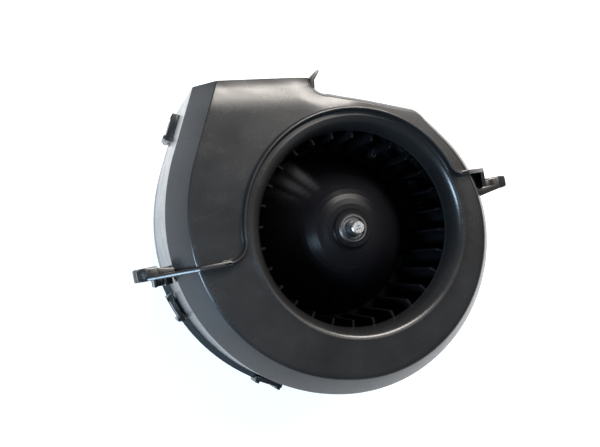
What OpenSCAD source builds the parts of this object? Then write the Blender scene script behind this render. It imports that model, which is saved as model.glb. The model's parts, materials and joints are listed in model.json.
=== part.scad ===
// Scroll blower: moulded snail housing, squirrel-cage wheel and permanent-magnet motor.
// Units are millimetres. Z is the wheel axis and points out of the inlet.
// The origin is the centre of the flat end of the motor cup, on the wheel axis.

/* [Scroll housing] */
// Height of the inlet face above the motor end
face_z = 128; // [127:0.5:129]
// Depth from the inlet face to the seam between the shells
front_depth = 70; // [66:1:74]
// Depth of the rear shell behind the seam
rear_depth = 18; // [16:1:18]
// Wall thickness of the mouldings
wall_t = 2.5; // [2:0.1:3]
// Width of the sloping band round the face
band_w = 11; // [9:0.5:12]
// Height of the sloping band
band_h = 15.5; // [13:0.5:17]
// Rounding of the edge between face and band
band_round = 2; // [1:0.5:3]
// Outward draft of the side wall over its height
draft = 1.2; // [0.6:0.1:1.5]
// Radius of the wall where the scroll starts
start_r = 80.5; // [79.5:0.5:82]
// Growth of the wall radius in each following quarter
growth = [10.2, 13.3, 19.5];
// Centre of the first full quarter of the scroll
scroll_c = [-6.1, -5.9];

/* [Outlet] */
// Lean of the straight outlet wall on the wide side
lean = 15; // [12:1:18]
// Angle of the outlet edge against X
outlet_tilt = 5.7; // [4:0.5:7]
// Height of the outlet edge over the axis, at its middle
outlet_y = 82.2; // [81:0.2:84]
// X of the outlet wall on the tongue side
tongue_x = -26; // [-28:0.5:-25]
// Radius of the hollow curve outside the tongue
tongue_r = 9; // [7:0.5:11]

/* [Inlet] */
// Throat radius of the bell-mouth
throat_r = 58; // [57:0.5:59]
// Depth of the throat behind the face
throat_depth = 15; // [13:0.5:15]
// Radial width of the bell-mouth lip
bell_w = 5.8; // [5:0.1:5.8]
// Height of the rib on the face
rib_h = 5; // [3:0.5:6]
// Thickness of the rib
rib_t = 1.8; // [1.4:0.1:2.2]

/* [Mounting ears] */
// Angle of the ear plates against X
ear_tilt = 11.3; // [9:0.5:13]
// Radius of the ear bores, for an M6 screw
ear_hole_r = 3.2; // [2.7:0.1:3.5]
// Outer radius of the ear bosses
ear_boss_r = 7; // [6.5:0.5:8]
// Height of the ear bosses
ear_boss_h = 7.5; // [7:0.5:9]

/* [Wheel] */
// Number of blades
blades = 28; // [24:1:32]
// Outer radius over the blades
wheel_r = 68; // [67:0.5:68.5]
// Inner radius of the blades
blade_in_r = 54; // [53:0.5:55]
// Blade thickness
blade_t = 1.3; // [1:0.1:1.6]
// Axial gap between throat and wheel
throat_gap = 1.5; // [1.2:0.1:2.5]
// Height of the wheel
wheel_h = 60; // [58:1:61]

/* [Motor] */
// Outer radius of the steel can
can_r = 31; // [30.5:0.5:31]
// Shaft radius
shaft_r = 4; // [3.9:0.05:4]
// Length of shaft that stands out of the hub collar
shaft_stub = 9; // [7:0.5:10]
// Running clearance in the bearings, on radius
bearing_gap = 0.03; // [0.02:0.01:0.06]

/* [Hidden] */
$fn = 120;
eps = 0.01;
far = 400;

// heights
seam_z = face_z - front_depth;
rear_z = seam_z - rear_depth;
band_z = face_z - band_h;
throat_z = face_z - throat_depth;
wheel_top = throat_z - throat_gap;
wheel_z = wheel_top - wheel_h;
hub_top = throat_z;

// centres and radii of the scroll's quarters, each tangent to the next
c1 = scroll_c;
c0 = c1 + [growth[0], 0];
c2 = c1 + [0, growth[1]];
c3 = c2 + [growth[2], 0];
r0 = start_r;
r1 = r0 + growth[0];
r2 = r1 + growth[1];
r3 = r2 + growth[2];

function polar(r, a) = [r * cos(a), r * sin(a)];
function dot2(a, b) = a[0] * b[0] + a[1] * b[1];

// point where the lines n_a . p = d_a and n_b . p = d_b cross
function cross_at(aa, da, ab, db) =
  let (det = cos(aa) * sin(ab) - sin(aa) * cos(ab))
  [(da * sin(ab) - db * sin(aa)) / det, (db * cos(aa) - da * cos(ab)) / det];

// straight runs beside the tongue: their normals and distances from the axis
top_n = 82.2;
top_d = 75;
corner_n = 50;
corner_r = 18;
corner_end = c0 + polar(r0, corner_n);
corner_d = dot2(corner_end, polar(1, corner_n));
corner_c = cross_at(top_n, top_d - corner_r, corner_n, corner_d - corner_r);
tongue_c = cross_at(top_n, top_d + tongue_r, 0, tongue_x + tongue_r);
side_n = 180 - lean;
side_p = c3 + polar(r3, side_n);
side_len = 60;
top_p = tongue_c - polar(tongue_r, top_n);
top_end = corner_c + polar(corner_r, top_n);
top_len = norm(top_end - top_p);
cut_p = corner_c + polar(corner_r, corner_n);
cut_len = norm(corner_end - cut_p);
duct_top = 30;
lap = 0.5;
lap_a = 0.3;
seat = 0.03;
plate_seat = 0.1;

// section of the front wall: distance from the wall line, height
// depth moves its surfaces inside those of a neighbouring section
plate_lap = 4;
half_a = atan(band_w / band_h) / 2;
edge_a = (90 - 2 * half_a) / 2;
function arc_pts(c, r, a, b, n) = [for (i = [0:n]) c + polar(r, a + (b - a) * i / n)];
round_back = band_round * tan(edge_a);
function wall_section(depth) = concat(
  [[draft - depth, seam_z + depth], [-depth, band_z - depth]],
  arc_pts([-band_w - round_back - depth, face_z - band_round - depth], band_round,
    90 - 2 * edge_a, 90, 4),
  [
    [-band_w - plate_lap, face_z - depth],
    [-band_w - plate_lap, face_z - wall_t - depth],
    [-band_w - wall_t * tan(edge_a) - depth, face_z - wall_t - depth],
    [-wall_t - depth, band_z - wall_t * tan(half_a) - depth],
    [draft - wall_t - depth, seam_z + depth]
  ]);
lip_h = 3;
lip_t = 1.4;
lip_gap = 0.25;
rear_steps = 4;
rear_round = 2.4;
// closed outline of the scroll, moved inwards by inset
function outline(inset) = concat(
  arc_pts(tongue_c, tongue_r + inset, 180, 180 + top_n, 12),
  arc_pts(corner_c, corner_r - inset, top_n, corner_n, 8),
  arc_pts(c0, r0 - inset, corner_n, 0, 12),
  arc_pts(c1, r1 - inset, 0, -90, 24),
  arc_pts(c2, r2 - inset, 270, 180, 24),
  arc_pts(c3, r3 - inset, 180, side_n, 6),
  [
    side_p + polar(side_len, side_n - 90) - polar(inset, side_n),
    [tongue_x - inset, tongue_c[1] + duct_top]
  ]);

module arc_wall(c, r, a, b) {
  translate(c) rotate([0, 0, a]) rotate_extrude(angle = b - a, $fn = 240) translate([r, 0]) children();
}

module hollow_wall(c, r, a, b) {
  translate(c) rotate([0, 0, a]) rotate_extrude(angle = b - a, $fn = 240) translate([r, 0])
    mirror([1, 0]) children();
}

// straight wall, run a little into the walls at both ends
module straight_wall(p, n, len, depth) {
  translate(p) rotate([90, 0, n]) translate([0, 0, -lap])
    linear_extrude(len + 2 * lap) polygon(wall_section(depth));
}

// the front wall, swept along the scroll
module scroll_wall() {
  arc_wall(c0, r0, 0, corner_n) polygon(wall_section(0));
  arc_wall(c1, r1, -90, 0) polygon(wall_section(0));
  arc_wall(c2, r2, 180, 270) polygon(wall_section(0));
  arc_wall(c3, r3, side_n, 180 + lap_a) polygon(wall_section(seat));
  straight_wall(side_p, side_n, side_len, 2 * seat);
  straight_wall(cut_p, corner_n, cut_len, seat);
  arc_wall(corner_c, corner_r, corner_n, top_n) polygon(wall_section(0));
  straight_wall(top_p, top_n, top_len, seat);
  hollow_wall(tongue_c, tongue_r, 180, 180 + top_n) polygon(wall_section(0));
  straight_wall([tongue_x, tongue_c[1] + duct_top], 0, duct_top, seat);
}

// block with the scroll's outline, from height z, moved inwards by inset
module prism(z, h, inset) {
  translate([0, 0, z]) linear_extrude(h) polygon(outline(inset));
}

// space beyond the outlet edge
module outlet_cut() {
  mid_x = (tongue_x - 95) / 2;
  translate([mid_x, outlet_y, 0]) rotate([0, 0, outlet_tilt])
    translate([-far / 2, 0, -far / 2]) cube([far, far, far]);
}

// bell-mouth lip: quarter ellipse from the face into the throat
bell_steps = 10;
bell_foot = 3;
function bell_pts(grow) = [for (i = [0:bell_steps])
  let (a = 90 * i / bell_steps)
  [
    throat_r + bell_w - (bell_w - grow) * sin(a),
    throat_z + bell_foot + (throat_depth - bell_foot - grow) * cos(a)
  ]];

module bell_block() {
  outside = bell_pts(wall_t);
  rotate_extrude($fn = 240) polygon(concat(
    [[throat_r - 1, face_z - 0.5], [throat_r - 1, throat_z], [throat_r + wall_t, throat_z]],
    [for (i = [bell_steps:-1:0]) outside[i]],
    [[throat_r + bell_w + 1, face_z - wall_t + 0.5], [throat_r + bell_w + 1, face_z - 0.5]]));
}

module bell_void() {
  inside = bell_pts(0);
  rotate_extrude($fn = 240) polygon(concat(
    [[0, throat_z - 1], [throat_r, throat_z - 1]],
    [for (i = [bell_steps:-1:0]) inside[i]],
    [[throat_r + bell_w, face_z + 1], [0, face_z + 1]]));
}

// rib on the face: an arc outside the bell-mouth, running out into both ears
rib_c = [-2.4, 1.6];
rib_r = 66;
rib_a = 30.5;
rib_b = 189;
rib_foot = 122.5;
turn_r = 11;
left_turn_c = rib_c + polar(rib_r, rib_b) + polar(turn_r, rib_b);
left_n = 270 + ear_tilt;
left_p = left_turn_c + polar(turn_r, left_n);
left_len = 51;
swing_r = 6;
turn_lap = 2;
right_turn_c = rib_c + polar(rib_r + swing_r, rib_a);
right_n = 270 + ear_tilt;
right_p = right_turn_c + polar(swing_r, right_n);
right_len = 20.5;

module rib_arc(c, r, a, b, depth) {
  translate([c[0], c[1], rib_foot + depth]) rotate([0, 0, a])
    rotate_extrude(angle = b - a, $fn = 180) translate([r - rib_t / 2 + depth, 0])
      square([rib_t - 2 * depth, face_z + rib_h - rib_foot - 2 * depth]);
}

// upright plate from p along direction a, with its outline in (run, z)
module ear_plate(p, a, t) {
  translate(p) rotate([90, 0, a]) translate([0, 0, -t / 2]) linear_extrude(t) children();
}

module rib() {
  rib_arc(rib_c, rib_r, rib_a, rib_b, 0);
  rib_arc(left_turn_c, turn_r, left_n - 360, rib_b - 180 + turn_lap, seat);
  rib_arc(right_turn_c, swing_r, rib_a + 180 - turn_lap, right_n, seat);
}

plate_t = 2.6;
ear_z = face_z - 21;
ear_span = 10;
left_boss = left_len - ear_boss_r;
right_drop = 10;
boss_run = 32;
web_h = 4.6;

// ear on the wide side: plate, boss and a rib under it
module left_ear() {
  ear_plate(left_p, 180 + ear_tilt, plate_t) polygon([
    [-1, face_z + rib_h],
    [17, face_z + rib_h],
    [left_boss - 8, ear_z + ear_span],
    [left_boss, ear_z + ear_boss_r],
    [left_boss, ear_z - ear_boss_r],
    [left_boss - 8, ear_z - ear_span],
    [32, ear_z - ear_span - 8],
    [29, ear_z - ear_span - 8],
    [29, band_z - 2],
    [17, rib_foot],
    [-1, rib_foot]
  ]);
  translate(left_p) rotate([0, 0, 180 + ear_tilt]) translate([left_boss, 0, ear_z])
    rotate([90, 0, 0]) translate([0, 0, -plate_t / 2]) cylinder(r = ear_boss_r, h = ear_boss_h);
  translate(left_p) rotate([0, 0, 180 + ear_tilt]) {
    translate([29, -web_h, ear_z - ear_span]) cube([left_boss - 29, web_h, 2]);
    translate([29, 0, ear_z - ear_span]) cube([12, web_h + 1, 2]);
    for (run = [33, 39]) {
      translate([run, 0, ear_z - ear_span]) cube([1.6, web_h + 1, 2 * ear_span - 6]);
    }
  }
}

// ear on the start side: open pocket, stepped plate and boss
module right_ear() {
  reach = right_len;
  foot_z = ear_z - ear_span;
  ear_plate(right_p, ear_tilt, plate_t) polygon([
    [-1, face_z + rib_h],
    [4, face_z + rib_h],
    [reach, face_z - 8],
    [reach, foot_z],
    [14, foot_z],
    [14, band_z],
    [6, rib_foot],
    [-1, rib_foot]
  ]);
  translate(right_p) rotate([0, 0, ear_tilt]) {
    translate([reach - plate_t, -right_drop, foot_z])
      cube([plate_t, right_drop, face_z - 8 - foot_z]);
    translate([14, -right_drop, foot_z]) cube([reach - 14, right_drop, plate_t]);
    translate([0, 0, foot_z]) linear_extrude(2 * ear_span - 2) polygon([
      [14, -right_drop - 6],
      [boss_run, -right_drop - plate_t],
      [boss_run, -right_drop],
      [14, -right_drop]
    ]);
    translate([boss_run, -right_drop - plate_t, ear_z]) rotate([-90, 0, 0])
      cylinder(r = ear_boss_r, h = ear_boss_h);
    translate([boss_run - ear_boss_r - 2, -right_drop, ear_z - ear_boss_r])
      cube([4, ear_boss_h - plate_t - 1, 2 * ear_boss_r]);
  }
}

module ear_bores() {
  translate(left_p) rotate([0, 0, 180 + ear_tilt]) translate([left_boss, 0, ear_z])
    rotate([90, 0, 0]) cylinder(r = ear_hole_r, h = 40, center = true);
  translate(right_p) rotate([0, 0, ear_tilt]) translate([boss_run, -right_drop, ear_z])
    rotate([90, 0, 0]) cylinder(r = ear_hole_r, h = 40, center = true);
}

// snap clips along the seam: place of each on the wall line, and its normal
clip_w = 18;
clip_t = 3.4;
clip_up = 7;
clip_down = 11;
clip_gap = 0.4;
clip_side_run = 24.5;
CLIPS = [
  [side_p + polar(clip_side_run, side_n - 90), side_n],
  [c2 + polar(r2, 211), 211],
  [c2 + polar(r2, 251.5), 251.5],
  [c1 + polar(r1, -38), -38],
  [top_p + polar(26, top_n - 90), top_n]
];

module at_clips() {
  for (clip = CLIPS) {
    translate([clip[0][0], clip[0][1], seam_z]) rotate([0, 0, clip[1]])
      translate([draft, 0, 0]) children();
  }
}

// loop that hangs from the front shell over a barb of the rear shell
module clip_loop() {
  difference() {
    translate([clip_gap, -clip_w / 2, -clip_down]) cube([clip_t, clip_w, clip_down + clip_up]);
    translate([clip_gap - 1, -clip_w / 2 + 3.5, -clip_down + 3])
      cube([clip_t + 2, clip_w - 7, clip_down - 3]);
  }
  translate([-wall_t / 2, -clip_w / 2, 1]) cube([clip_gap + wall_t, clip_w, clip_up - 1]);
  for (side = [-1, 1]) {
    translate([clip_gap + clip_t - eps, side * (clip_w / 2 - 2) - 1.2, -clip_down])
      cube([1.4, 2.4, clip_down + clip_up]);
  }
}

// wedge that the loop snaps over
module clip_barb() {
  barb_w = clip_w - 8.5;
  translate([0, barb_w / 2, -clip_down + 4]) rotate([90, 0, 0]) linear_extrude(barb_w)
    polygon([[-wall_t / 2, -1], [0.2, -1], [3, 3.5], [3, 5], [-wall_t / 2, 5]]);
}

// leaf at the outlet edge that hooks behind the mating duct
module leaf() {
  tip = [tongue_x + 2, outlet_y + 9.2];
  translate([0, 0, seam_z + 6]) linear_extrude(front_depth - 12) polygon([
    [tongue_x - wall_t, outlet_y - 6],
    [tongue_x, outlet_y - 6],
    [tongue_x - 0.4, outlet_y + 2.5],
    tip + [0.2, -1.6],
    tip,
    tip + [-1.6, -1.2],
    [tongue_x - wall_t - 0.8, outlet_y + 3.4]
  ]);
}

module front_shell() color("#2b2b2c") {
  difference() {
    union() {
      difference() {
        union() {
          scroll_wall();
          translate([0, 0, face_z - wall_t + plate_seat]) linear_extrude(wall_t - 2 * plate_seat)
            polygon(outline(band_w + plate_lap - 1));
          bell_block();
        }
        outlet_cut();
      }
      rib();
      left_ear();
      right_ear();
      at_clips() clip_loop();
      leaf();
    }
    bell_void();
    ear_bores();
  }
}

// rear shell: back wall with the round motor opening, rim and barbs
motor_hole_r = 47;
post_r = 54;
post_hole_r = 1.7;
rim_w = 3.4;
rim_h = 2.5;
module rear_shell() color("#1f1f21") {
  difference() {
    union() {
      difference() {
        union() {
          difference() {
            for (i = [0:rear_steps]) {
              prism(rear_z + rear_round * (1 - cos(90 * i / rear_steps)),
                rear_depth - rear_round * (1 - cos(90 * i / rear_steps)),
                -draft + rear_round * (1 - sin(90 * i / rear_steps)));
            }
            prism(rear_z + wall_t, rear_depth, wall_t - draft);
          }
          difference() {
            union() {
              prism(seam_z - lip_h, lip_h, wall_t - draft - 1);
              prism(seam_z - 1, lip_h + 1, wall_t - draft + lip_gap);
            }
            prism(seam_z - lip_h - 1, 2 * lip_h + 2, wall_t - draft + lip_gap + lip_t);
          }
          arc_wall(c2, r2, 197, 248) translate([draft - 1, seam_z - rim_h]) square([1 + rim_w, rim_h]);
        }
        outlet_cut();
      }
      for (i = [0:2]) {
        rotate([0, 0, 120 * i + 30]) translate([post_r, 0, rear_z]) cylinder(r = 4, h = 6);
      }
      at_clips() clip_barb();
    }
    translate([0, 0, rear_z - 1]) cylinder(r = motor_hole_r, h = wall_t + 2);
    for (i = [0:2]) {
      rotate([0, 0, 120 * i + 30]) translate([post_r, 0, rear_z - 1])
        cylinder(r = post_hole_r, h = 6);
    }
    at_clips() translate([clip_gap - 0.3, -clip_w / 2 - 0.3, -clip_down - 0.3])
      cube([clip_t + 3, 3.8 + 0.3, clip_down + 1]);
    at_clips() translate([clip_gap - 0.3, clip_w / 2 - 3.8, -clip_down - 0.3])
      cube([clip_t + 3, 3.8 + 0.3, clip_down + 1]);
  }
}

// wheel
hub_r = 8.8;
collar_h = 15;
dome_foot_z = wheel_z + 3;
dome_steps = 14;
dome_t = 2.2;
dome_top_r = 12;
dome_top_z = hub_top - 4;
function dome_pt(t) = [
  dome_top_r + (blade_in_r - dome_top_r) * t,
  dome_foot_z + (dome_top_z - dome_foot_z) * cos(90 * pow(t, 1.15))
];
DOME = [for (i = [0:dome_steps]) dome_pt(i / dome_steps)];

// blade arc: its own centre, radius and sweep put the tip ahead in the turning direction
blade_r = 12;
blade_c = [blade_in_r + 2.5, -11.7];
module blade() {
  translate([blade_c[0], blade_c[1], wheel_z + 1]) rotate([0, 0, 21])
    rotate_extrude(angle = 81, $fn = 90) translate([blade_r - blade_t / 2, 0])
      square([blade_t, wheel_h - 1.5]);
}

module impeller() color("#0d0d0e") {
  rotate_extrude($fn = 180) polygon(concat(
    [[hub_r, hub_top - 1], [hub_r + 2.2, hub_top - 1], [hub_r + 2.2, hub_top - 3]],
    DOME,
    [[wheel_r, wheel_z + 3], [wheel_r, wheel_z], [blade_in_r - dome_t, wheel_z]],
    [for (i = [dome_steps - 1:-1:1]) DOME[i] - [dome_t, dome_t]],
    [[hub_r + 2.4, dome_top_z - dome_t], [hub_r + 2.4, hub_top - collar_h - 3], [hub_r, hub_top - collar_h - 3]]));
  for (i = [0:blades - 1]) {
    rotate([0, 0, 360 / blades * i]) blade();
  }
  rotate_extrude($fn = 180) polygon([
    [wheel_r - 6, wheel_top - 1], [wheel_r - 5, wheel_top], [wheel_r, wheel_top],
    [wheel_r + 0.6, wheel_top - 1], [wheel_r + 0.6, wheel_top - 5], [wheel_r - 0.8, wheel_top - 5],
    [wheel_r - 1.2, wheel_top - 2.2], [wheel_r - 5.6, wheel_top - 2.2]
  ]);
}

module hub_collar() color("#6a6c6e") {
  rotate_extrude() polygon([
    [shaft_r, hub_top - collar_h], [hub_r, hub_top - collar_h], [hub_r, hub_top - 0.8],
    [hub_r - 0.8, hub_top], [hub_r - 1.8, hub_top], [hub_r - 2.4, hub_top - 1.2],
    [shaft_r + 1.2, hub_top - 1.2], [shaft_r, hub_top - 2]
  ]);
}

shaft_tip = hub_top + shaft_stub;
shaft_foot = 6.2;
clip_z = hub_top - collar_h - 1.2;
module motor_shaft() color("#b9bdc1") {
  rotate_extrude() polygon([
    [0, shaft_foot], [shaft_r - 0.5, shaft_foot], [shaft_r, shaft_foot + 0.5],
    [shaft_r, clip_z], [shaft_r - 0.6, clip_z], [shaft_r - 0.6, clip_z + 1.1], [shaft_r, clip_z + 1.1],
    [shaft_r, shaft_tip - 0.7], [shaft_r - 0.7, shaft_tip], [1.3, shaft_tip], [0, shaft_tip - 1.6]
  ]);
}

module shaft_clip() color("#8d9093") {
  difference() {
    translate([0, 0, clip_z + 0.05]) cylinder(r = shaft_r + 2.6, h = 1);
    translate([0, 0, clip_z - 1]) cylinder(r = shaft_r - 0.6, h = 3);
    translate([0, -2.6, clip_z - 1]) cube([shaft_r + 4, 5.2, 3]);
  }
}

// spring clips pushed on two blades to balance the wheel
module balance_clips() color("#9a9c9e") {
  for (i = [5, 16]) {
    rotate([0, 0, 360 / blades * i]) translate([blade_in_r + 0.4, 0, wheel_z + 24]) rotate([0, 0, 4])
      difference() {
        translate([-1.6, -blade_t / 2 - 0.8, 0]) cube([5, blade_t + 1.6, 8]);
        translate([-1, -blade_t / 2 - 0.25, -1]) cube([6, blade_t + 0.5, 10]);
      }
  }
}

// moulded cup that carries the motor and closes the rear shell
cup_r = 36;
cup_t = 2.5;
flange_r = 59;
flange_z = rear_z - 6.5;
flange_t = 3;
conn_w = 22;
conn_d = 15;
conn_z = 12;
conn_h = 15;
cup_floor = 4;
screw_at = 22;
module motor_cup() color("#232324") {
  difference() {
    union() {
      rotate_extrude() polygon([
        [0, 0], [cup_r - 1.5, 0], [cup_r, 1.5], [cup_r, flange_z - 3], [cup_r + 3, flange_z],
        [flange_r, flange_z], [flange_r, flange_z + flange_t], [motor_hole_r - 0.6, flange_z + flange_t],
        [motor_hole_r - 0.6, rear_z + 2], [motor_hole_r - 3, rear_z + 2],
        [motor_hole_r - 3, flange_z + flange_t], [cup_r - cup_t, flange_z + flange_t],
        [cup_r - cup_t, cup_floor], [0, cup_floor]
      ]);
      for (i = [0:5]) {
        rotate([0, 0, 60 * i]) translate([cup_r - 1, -1, 3])
          rotate([90, 0, 0]) translate([0, 0, -2]) linear_extrude(2)
            polygon([[0, 8], [0, flange_z - 2], [14, flange_z - 2], [14, flange_z - 3]]);
      }
      translate([cup_r - 3, -conn_w / 2, conn_z]) cube([conn_d + 3, conn_w, conn_h]);
    }
    translate([cup_r, -conn_w / 2 + 2, conn_z + 2]) cube([conn_d + 1, conn_w - 4, conn_h - 4]);
    for (i = [0:2]) {
      rotate([0, 0, 120 * i + 30]) translate([post_r, 0, flange_z - 1])
        cylinder(r = 3.4, h = flange_t + 2);
    }
    for (i = [0:2]) {
      rotate([0, 0, 120 * i + 90]) translate([screw_at, 0, -1]) {
        cylinder(r = 3.1, h = 3.2);
        cylinder(r = 1.6, h = cup_floor + 2);
      }
    }
  }
}

// rubber rings between the cup's flange and the rear shell
iso_z = flange_z - 1.5;
module isolators() color("#151515") {
  for (i = [0:2]) {
    rotate([0, 0, 120 * i + 30]) translate([post_r, 0, 0]) rotate_extrude($fn = 48) polygon([
      [2.1, iso_z], [4.6, iso_z], [4.6, flange_z], [3.4, flange_z], [3.4, flange_z + flange_t],
      [5, flange_z + flange_t], [5, rear_z], [2.1, rear_z]
    ]);
  }
}

module flange_screws() color("#a8abad") {
  for (i = [0:2]) {
    rotate([0, 0, 120 * i + 30]) translate([post_r, 0, 0]) {
      difference() {
        translate([0, 0, iso_z - 3]) cylinder(r = 4.2, h = 3, $fn = 48);
        translate([0, 0, iso_z - 4]) cylinder(r = 2, h = 2.4, $fn = 6);
      }
      translate([0, 0, iso_z - 0.5]) cylinder(r = post_hole_r, h = rear_z - iso_z + 5, $fn = 48);
    }
  }
}

// motor: drawn can, plate and bearings
can_t = 1.8;
can_z = cup_floor + 1;
can_top = can_z + 68.5;
seat_r = 8.5;
module motor_can() color("#7d8083") {
  difference() {
    rotate_extrude() polygon([
      [0, can_z - 1], [seat_r + can_t - 1, can_z - 1], [seat_r + can_t, can_z],
      [seat_r + can_t, can_z + 4], [can_r - 3, can_z + 4], [can_r, can_z + 7], [can_r, can_top],
      [can_r - can_t, can_top], [can_r - can_t, can_z + 8], [can_r - 4, can_z + 4 + can_t],
      [seat_r, can_z + 4 + can_t], [seat_r, can_z + 0.6], [0, can_z + 0.6]
    ]);
    for (i = [0:2]) {
      rotate([0, 0, 120 * i + 30]) translate([18, 0, can_z]) cylinder(r = 4, h = 12);
      rotate([0, 0, 120 * i + 90]) translate([screw_at, 0, can_z]) cylinder(r = 1.5, h = 12);
    }
  }
}

// screws that hold the can in its cup
module can_screws() color("#a8abad") {
  for (i = [0:2]) {
    rotate([0, 0, 120 * i + 90]) translate([screw_at, 0, 0]) {
      difference() {
        translate([0, 0, 0.3]) cylinder(r = 2.9, h = 1.9, $fn = 48);
        translate([0, 0, -1]) cylinder(r = 1.4, h = 2.5, $fn = 6);
      }
      translate([0, 0, 2.1]) cylinder(r = 1.5, h = can_z + 5, $fn = 48);
    }
  }
}

cap_t = 1.8;
cap_z = can_top;
nose_h = 9;
module end_cap() color("#8a8d90") {
  difference() {
    rotate_extrude() polygon([
      [seat_r, cap_z], [can_r, cap_z], [can_r, cap_z + cap_t], [seat_r + can_t, cap_z + cap_t],
      [seat_r + can_t, cap_z + nose_h], [shaft_r + 1, cap_z + nose_h],
      [shaft_r + 1, cap_z + nose_h - cap_t], [seat_r, cap_z + nose_h - cap_t]
    ]);
    for (i = [0:3]) {
      rotate([0, 0, 90 * i + 45]) translate([20, 0, cap_z - 1]) cylinder(r = 4, h = 4);
    }
  }
}

magnet_t = 4;
magnet_z = can_z + 14;
magnet_h = 34;
magnet_in = can_r - can_t - magnet_t;
module magnet(a) {
  translate([0, 0, magnet_z]) rotate([0, 0, a - 62])
    rotate_extrude(angle = 124) translate([magnet_in, 0]) square([magnet_t, magnet_h]);
}
module magnet_a() color("#3a3b3d") magnet(0);
module magnet_b() color("#3a3b3d") magnet(180);

// armature
slots = 12;
core_r = magnet_in - 0.6;
core_z = magnet_z + 3;
core_h = magnet_h - 8;
slot_r = 3;
slot_at = core_r - 6;
module slot_row(r, z, h) {
  for (i = [0:slots - 1]) {
    rotate([0, 0, 360 / slots * i]) translate([slot_at, 0, z]) cylinder(r = r, h = h, $fn = 36);
  }
}

module armature_core() color("#6d7073") {
  difference() {
    translate([0, 0, core_z]) cylinder(r = core_r, h = core_h);
    translate([0, 0, core_z - 1]) cylinder(r = shaft_r, h = core_h + 2);
    slot_row(slot_r, core_z - 1, core_h + 2);
    for (i = [0:slots - 1]) {
      rotate([0, 0, 360 / slots * i]) translate([slot_at, -0.8, core_z - 1])
        cube([10, 1.6, core_h + 2]);
    }
  }
}

liner_t = 1;
module slot_insulators() color("#b8402c") {
  for (z = [core_z - liner_t, core_z + core_h]) {
    difference() {
      translate([0, 0, z]) cylinder(r = core_r - 1.5, h = liner_t);
      translate([0, 0, z - 1]) cylinder(r = shaft_r, h = liner_t + 2);
      slot_row(slot_r, z - 1, liner_t + 2);
    }
  }
}

coil_h = 6;
module armature_windings() color("#a5602b") {
  slot_row(slot_r - 0.35, core_z - liner_t - 1, core_h + 2 * liner_t + 2);
  rotate_extrude() translate([0, core_z - liner_t - coil_h]) polygon([
    [7, 0.8], [8, 0], [core_r - 4, 0], [core_r - 2, 2], [core_r - 2, coil_h], [7, coil_h]
  ]);
  rotate_extrude() translate([0, core_z + core_h + liner_t]) polygon([
    [7, 0], [core_r - 2, 0], [core_r - 2, coil_h - 2], [core_r - 4, coil_h], [8, coil_h],
    [7, coil_h - 0.8]
  ]);
}

comm_r = 9;
comm_z = core_z + core_h + liner_t + coil_h + 1;
comm_h = 11;
bars = 12;
module commutator() color("#b87a45") {
  difference() {
    union() {
      translate([0, 0, comm_z]) cylinder(r = comm_r, h = comm_h);
      translate([0, 0, comm_z]) cylinder(r = comm_r + 1.6, h = 1.6);
    }
    translate([0, 0, comm_z - 1]) cylinder(r = shaft_r, h = comm_h + 2);
    for (i = [0:bars - 1]) {
      rotate([0, 0, 360 / bars * i]) translate([comm_r - 1, -0.3, comm_z - 1])
        cube([4, 0.6, comm_h + 2]);
    }
  }
}

rear_bearing_z = can_z + 1;
bearing_h = 8;
front_bearing_z = cap_z - 1;
module thrust_washers() color("#c9c3a8") {
  for (z = [rear_bearing_z + bearing_h + 0.5, front_bearing_z - 1.5]) {
    difference() {
      translate([0, 0, z]) cylinder(r = 6.5, h = 0.9);
      translate([0, 0, z - 1]) cylinder(r = shaft_r, h = 3);
    }
  }
}

// sintered bearing with a ball-shaped outside
module ball_bearing(z) {
  difference() {
    intersection() {
      translate([0, 0, z + bearing_h / 2]) sphere(r = seat_r - 0.3);
      translate([0, 0, z]) cylinder(r = seat_r, h = bearing_h);
    }
    translate([0, 0, z - 1]) cylinder(r = shaft_r + bearing_gap, h = bearing_h + 2);
  }
}
module front_bearing() color("#b08d57") ball_bearing(front_bearing_z);
module rear_bearing() color("#b08d57") ball_bearing(rear_bearing_z);

// spring rings that press the bearings into their seats
module bearing_clips() color("#8d9093") {
  for (z = [rear_bearing_z + bearing_h - 1.2, front_bearing_z + 1]) {
    difference() {
      translate([0, 0, z]) cylinder(r = seat_r - 0.05, h = 0.6);
      translate([0, 0, z - 1]) cylinder(r = seat_r - 0.6, h = 3);
    }
  }
}

// brush gear
brush_z = comm_z + 3;
brush_w = 6;
brush_h = 6;
brush_l = 8;
brush_at = comm_r + 0.3;
card_z = comm_z + comm_h - 0.5;
card_t = 2;
box_t = 1;
box_at = comm_r + 2.2;
box_l = 14;
card_r = can_r - can_t;
module brush_card() color("#5b4a35") {
  difference() {
    union() {
      translate([0, 0, card_z]) cylinder(r = card_r, h = card_t);
      for (side = [0, 180]) {
        rotate([0, 0, side])
          translate([box_at, -brush_w / 2 - box_t - 0.1, brush_z - box_t - 0.1])
            cube([box_l, brush_w + 2 * box_t + 0.2, card_z - brush_z + box_t + 0.2]);
      }
    }
    translate([0, 0, card_z - 1]) cylinder(r = comm_r + 1.5, h = card_t + 2);
    for (side = [0, 180]) {
      rotate([0, 0, side]) translate([box_at - 1, -brush_w / 2 - 0.1, brush_z - 0.1])
        cube([box_l, brush_w + 0.2, brush_h + 0.2]);
    }
    for (side = [0, 180]) {
      rotate([0, 0, side + 90]) translate([20, 0, card_z - 1]) cylinder(r = 3, h = card_t + 2);
    }
  }
}

module brush(a) {
  rotate([0, 0, a]) difference() {
    translate([comm_r - 2, -brush_w / 2, brush_z]) cube([brush_l + 2, brush_w, brush_h]);
    translate([0, 0, brush_z - 1]) cylinder(r = brush_at, h = brush_h + 2);
  }
}
module brush_a() color("#2a2a2c") brush(0);
module brush_b() color("#2a2a2c") brush(180);

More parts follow.
